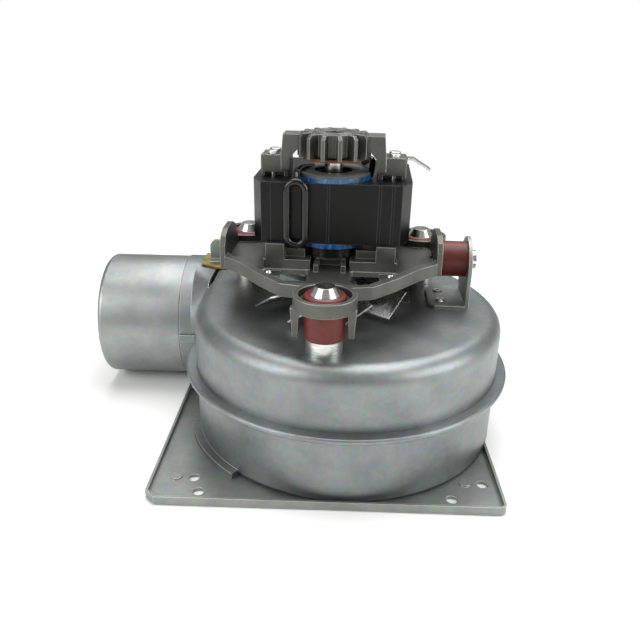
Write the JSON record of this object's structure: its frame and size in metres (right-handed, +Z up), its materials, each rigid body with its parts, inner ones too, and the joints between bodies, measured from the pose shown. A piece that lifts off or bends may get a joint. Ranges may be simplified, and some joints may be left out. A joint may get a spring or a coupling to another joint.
{
  "type": "flue gas extractor fan",
  "caption": "Boiler flue gas fan: shaded motor on a cast spider and rubber isolators above a pressed steel scroll casing, with a square base plate and a side outlet spigot",
  "frame": {"origin": "where the motor axis meets the underside of the base plate", "axes": "+Z up along the motor axis, -X out of the outlet spigot, -Y towards the front of the casing"},
  "size_m": [0.1895, 0.1503, 0.1304],
  "materials": {
    "galvanised_sheet": "zinc-coated sheet, pressed and folded, finely brushed",
    "bright_steel": "plated steel, bright",
    "turned_aluminium": "turned, satin",
    "cast_aluminium": "die-cast, satin with a fine grain",
    "black_laminations": "varnished laminated steel, satin black",
    "blue_film": "insulating film over the windings, glossy",
    "dark_coil_cover": "moulded, matt",
    "black_plastic": "varnished insulating sleeve and moulding",
    "red_silicone": "moulded silicone rubber, satin",
    "fibre": "pressed fibre, matt",
    "yellow_zinc": "yellow-passivated zinc",
    "sintered_bronze": "sintered, oiled"
  },
  "bodies": {
    "root": {"base_plate": "galvanised_sheet", "bearing_bridge": "cast_aluminium", "bearing_felt": "fibre", "bridge_screws": "bright_steel", "earth_tab": "bright_steel", "inlet_nozzle": "galvanised_sheet", "isolator_nut_front": "bright_steel", "isolator_nut_left": "bright_steel", "isolator_nut_right": "bright_steel", "isolator_rubber_front": "red_silicone", "isolator_rubber_left": "red_silicone", "isolator_rubber_right": "red_silicone", "isolator_screw_front": "bright_steel", "isolator_screw_left": "bright_steel", "isolator_screw_right": "bright_steel", "isolator_sleeve_front": "turned_aluminium", "isolator_sleeve_left": "turned_aluminium", "isolator_sleeve_right": "turned_aluminium", "lead_sleeve": "black_plastic", "left_bracket": "galvanised_sheet", "left_bracket_pad": "yellow_zinc", "lower_bearing": "sintered_bronze", "lower_casing_shell": "galvanised_sheet", "lower_winding_cover": "black_plastic", "motor_spider": "cast_aluminium", "outlet_spigot": "galvanised_sheet", "right_bracket": "galvanised_sheet", "right_bracket_rivets": "bright_steel", "shaft_gasket": "fibre", "shaft_seal_plate": "bright_steel", "side_damper": "red_silicone", "side_damper_bolt": "bright_steel", "spider_rivets": "bright_steel", "stator_stack": "black_laminations", "throat_seam_clip": "galvanised_sheet", "upper_bearing": "sintered_bronze", "upper_casing_shell": "galvanised_sheet", "winding": "blue_film", "winding_disc": "dark_coil_cover"},
    "rotor": {"shaft": "bright_steel", "rotor_core": "black_laminations", "rotor_end_rings": "cast_aluminium", "rotor_sleeve": "sintered_bronze", "cooling_wheel": "bright_steel", "impeller_blades": "galvanised_sheet", "impeller_shroud": "galvanised_sheet", "impeller_backplate": "galvanised_sheet", "impeller_hub": "galvanised_sheet", "impeller_clamp_washer": "galvanised_sheet", "impeller_nut": "bright_steel"}
  },
  "joints": [
    {"name": "rotor_spin", "type": "hinge", "parent": "root", "child": "rotor", "pos_m": [0, 0, 0.09], "axis": [0, 0, 1], "continuous": true}
  ]
}
